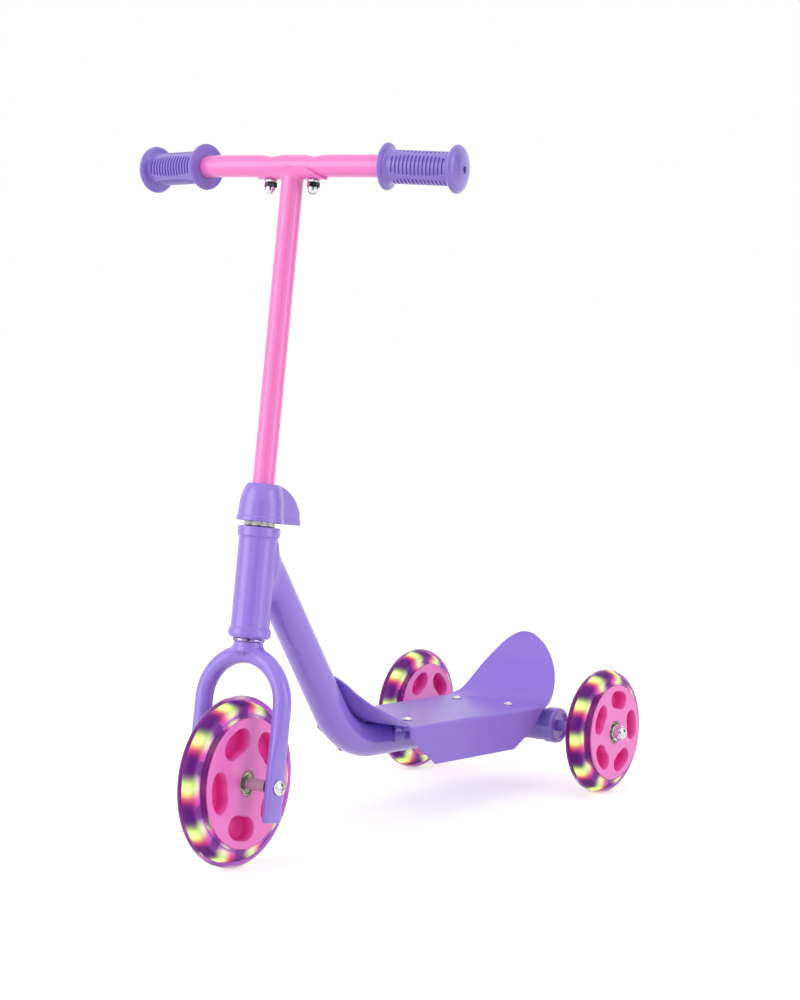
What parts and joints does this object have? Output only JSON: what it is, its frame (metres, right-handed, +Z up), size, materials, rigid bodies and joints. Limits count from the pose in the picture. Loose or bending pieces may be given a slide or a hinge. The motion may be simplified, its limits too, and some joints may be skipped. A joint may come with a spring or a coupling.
{
  "type": "three wheel kids scooter",
  "caption": "Small child's scooter with a lilac steel frame, pink handlebar, a footboard curved up at both ends, a forked front wheel and a rear wheel on each side, all with glowing tyres.",
  "frame": {"origin": "on the floor, under the middle of the length over the wheels and on the middle plane", "axes": "+Z up, +X to the rider's left, -Y the way the scooter faces"},
  "size_m": [0.3406, 0.581, 0.626],
  "materials": {
    "lilac_paint": "smooth glossy lilac enamel on steel",
    "pink_paint": "smooth glossy pink enamel on steel",
    "lilac_plastic": "glossy moulded lilac plastic",
    "grip_plastic": "soft lilac moulding with a satin sheen",
    "chrome": "bright plated steel",
    "steel": "plain steel",
    "clear_plastic": "milky clear plastic",
    "dark_plastic": "dark moulded plastic",
    "tyre": "clear purple polyurethane, glossy",
    "hub_plastic": "bright pink moulded plastic",
    "lamp_plastic": "clear moulding over small lamps",
    "magnet": "dark sleeve with magnets inside"
  },
  "bodies": {
    "frame": {"head_tube": "lilac_paint", "lower_head_bearing": "steel", "upper_head_bearing": "steel", "down_tube": "lilac_paint", "deck_plate": "lilac_paint", "deck_bracket_front": "lilac_paint", "deck_bracket_rear": "lilac_paint", "deck_bolt_front_left": "chrome", "deck_bolt_front_right": "chrome", "deck_bolt_rear_left": "chrome", "deck_bolt_rear_right": "chrome", "rear_axle_tube": "lilac_paint", "axle_bush_left": "lilac_plastic", "axle_bush_right": "lilac_plastic", "rear_axle_rod": "steel", "rear_spacer_left": "lilac_plastic", "rear_spacer_right": "lilac_plastic", "rear_washer_left": "chrome", "rear_washer_right": "chrome", "rear_nut_left": "chrome", "rear_nut_right": "chrome", "rear_left_wheel_magnet_sleeve": "magnet", "rear_right_wheel_magnet_sleeve": "magnet"},
    "steering": {"fork": "lilac_paint", "crown_race": "chrome", "lock_nut": "chrome", "stem_clamp": "steel", "clamp_bolt": "steel", "head_cover": "lilac_plastic", "stem": "pink_paint", "handlebar": "pink_paint", "bar_bolt_left": "chrome", "bar_bolt_right": "chrome", "bar_nut_left": "chrome", "bar_nut_right": "chrome", "grip_left": "grip_plastic", "grip_right": "grip_plastic", "front_axle_bolt": "chrome", "front_axle_nut": "chrome", "front_spacer_left": "clear_plastic", "front_spacer_right": "clear_plastic", "front_washer_left": "dark_plastic", "front_washer_right": "dark_plastic", "front_wheel_magnet_sleeve": "magnet"},
    "front_wheel": {"front_wheel_tyre": "tyre", "front_wheel_hub": "hub_plastic", "front_wheel_led_ring": "lamp_plastic", "front_wheel_bearing_left": "steel", "front_wheel_bearing_right": "steel"},
    "rear_left_wheel": {"rear_left_wheel_tyre": "tyre", "rear_left_wheel_hub": "hub_plastic", "rear_left_wheel_led_ring": "lamp_plastic", "rear_left_wheel_bearing_left": "steel", "rear_left_wheel_bearing_right": "steel"},
    "rear_right_wheel": {"rear_right_wheel_tyre": "tyre", "rear_right_wheel_hub": "hub_plastic", "rear_right_wheel_led_ring": "lamp_plastic", "rear_right_wheel_bearing_left": "steel", "rear_right_wheel_bearing_right": "steel"}
  },
  "joints": [
    {"name": "steering_turn", "type": "hinge", "parent": "frame", "child": "steering", "pos_m": [0, -0.2155, 0.075], "axis": [0, 0.1668, 0.986], "continuous": true},
    {"name": "front_wheel_spin", "type": "hinge", "parent": "steering", "child": "front_wheel", "pos_m": [0, -0.2155, 0.075], "axis": [1, 0, 0], "continuous": true},
    {"name": "rear_left_wheel_spin", "type": "hinge", "parent": "frame", "child": "rear_left_wheel", "pos_m": [0.1093, 0.2305, 0.06], "axis": [1, 0, 0], "continuous": true},
    {"name": "rear_right_wheel_spin", "type": "hinge", "parent": "frame", "child": "rear_right_wheel", "pos_m": [-0.1093, 0.2305, 0.06], "axis": [1, 0, 0], "continuous": true}
  ]
}
